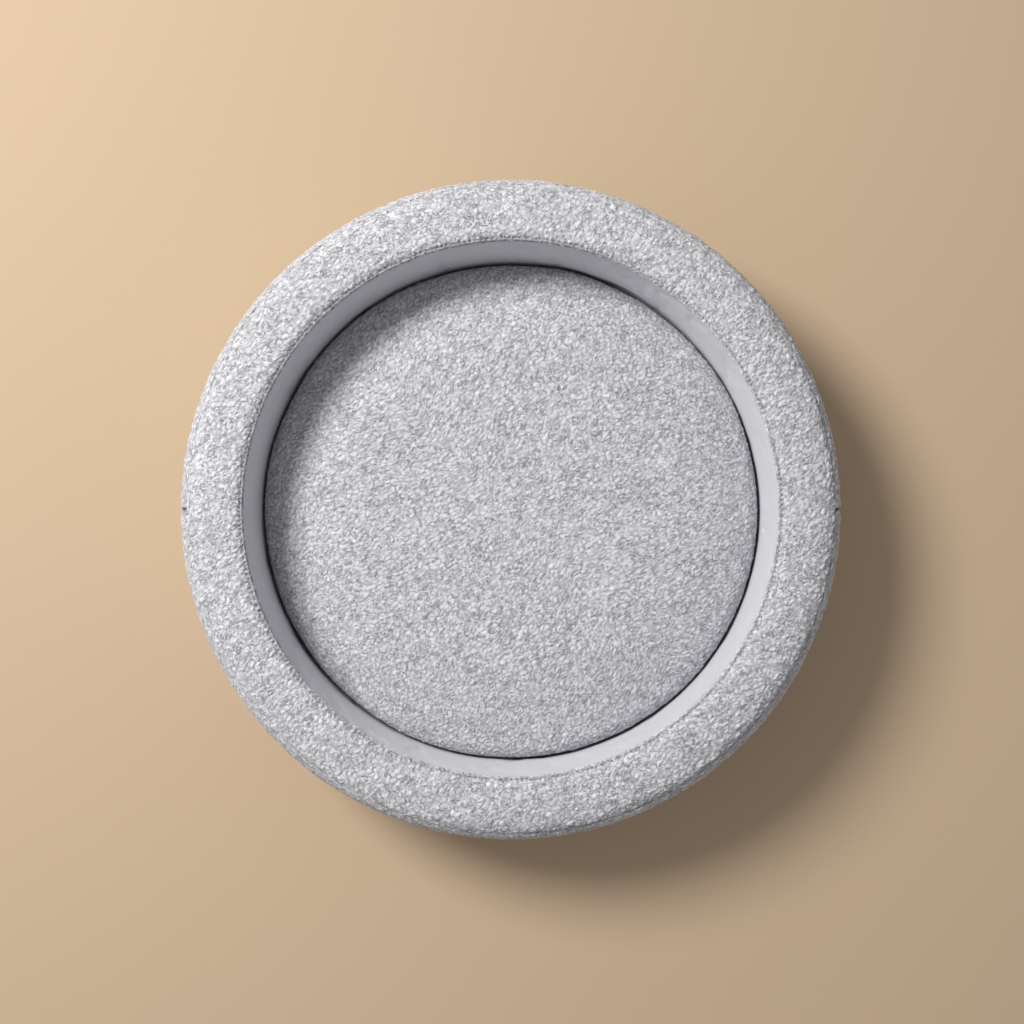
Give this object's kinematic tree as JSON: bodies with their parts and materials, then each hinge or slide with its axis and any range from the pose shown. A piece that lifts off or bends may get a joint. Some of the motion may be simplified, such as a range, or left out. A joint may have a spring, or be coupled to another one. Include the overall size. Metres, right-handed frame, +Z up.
{
  "type": "pet cushion bed",
  "caption": "Round pet bed: a padded foam ring in a curly-pile cover around a thick loose cushion, with zips for the ring's and the cushion's covers.",
  "frame": {"origin": "centre of the underside, on the floor that the bed stands on", "axes": "+Z up, along the ring's axis; +Y to the rear, where the ring's zip is; +X to the right"},
  "size_m": [0.6, 0.6, 0.15],
  "materials": {
    "curly_pile": "soft curly pile",
    "short_pile": "smooth short pile",
    "plain_fabric": "plain weave",
    "grip_fabric": "coated weave with raised grip dots",
    "foam": null,
    "wadding": "loose polyester wadding",
    "zip_tape": "woven tape",
    "zip_coil": "satin nylon coil",
    "zip_metal": "satin metal",
    "label": "plain satin tape, blank"
  },
  "bodies": {
    "bed": {"base_panel": "grip_fabric", "base_pad": "foam", "well_floor_panel": "plain_fabric", "ring_foam_core": "foam", "ring_wadding": "wadding", "ring_top_cover": "curly_pile", "ring_inner_wall": "short_pile", "ring_outer_wall_front": "curly_pile", "ring_outer_wall_rear": "curly_pile", "ring_rear_skirt": "curly_pile", "ring_zip_tape_upper": "zip_tape", "ring_zip_tape_lower": "zip_tape", "ring_zip_coil_upper": "zip_coil", "ring_zip_coil_lower": "zip_coil", "ring_zip_top_stop_upper": "zip_metal", "ring_zip_top_stop_lower": "zip_metal", "ring_zip_bottom_stop": "zip_metal", "ring_zip_end_tab_start": "plain_fabric", "ring_zip_end_tab_finish": "plain_fabric", "care_label": "label"},
    "cushion": {"cushion_top_panel": "curly_pile", "cushion_side_band": "curly_pile", "cushion_bottom_panel": "plain_fabric", "cushion_zip_facing_front": "curly_pile", "cushion_zip_facing_rear": "curly_pile", "cushion_zip_tape_front": "zip_tape", "cushion_zip_tape_rear": "zip_tape", "cushion_zip_coil_front": "zip_coil", "cushion_zip_coil_rear": "zip_coil", "cushion_zip_top_stop_front": "zip_metal", "cushion_zip_top_stop_rear": "zip_metal", "cushion_zip_bottom_stop": "zip_metal", "cushion_zip_end_tab_start": "plain_fabric", "cushion_zip_end_tab_finish": "plain_fabric", "cushion_foam_core": "foam", "cushion_wadding": "wadding"},
    "ring_zip_slider": {"ring_zip_slider": "zip_metal"},
    "ring_zip_pull": {"ring_zip_pull": "zip_metal"},
    "cushion_zip_slider": {"cushion_zip_slider": "zip_metal"},
    "cushion_zip_pull": {"cushion_zip_pull": "zip_metal"}
  },
  "joints": [
    {"name": "cushion_lift", "type": "slide", "parent": "bed", "child": "cushion", "axis": [0, 0, 1], "range_m": [0, 0.2]},
    {"name": "ring_zip_travel", "type": "hinge", "parent": "bed", "child": "ring_zip_slider", "pos_m": [0, 0, 0.03], "axis": [0, 0, 1], "range_deg": [0, 158]},
    {"name": "ring_zip_pull_swing", "type": "hinge", "parent": "ring_zip_slider", "child": "ring_zip_pull", "pos_m": [0.29026, 0.0538, 0.03], "axis": [0, 0, -1], "range_deg": [0, 178]},
    {"name": "cushion_zip_travel", "type": "slide", "parent": "cushion", "child": "cushion_zip_slider", "axis": [1, 0, 0], "range_m": [0, 0.287]},
    {"name": "cushion_zip_pull_swing", "type": "hinge", "parent": "cushion_zip_slider", "child": "cushion_zip_pull", "pos_m": [-0.1475, 0, 0.0102], "axis": [0, -1, 0], "range_deg": [0, 5]}
  ]
}
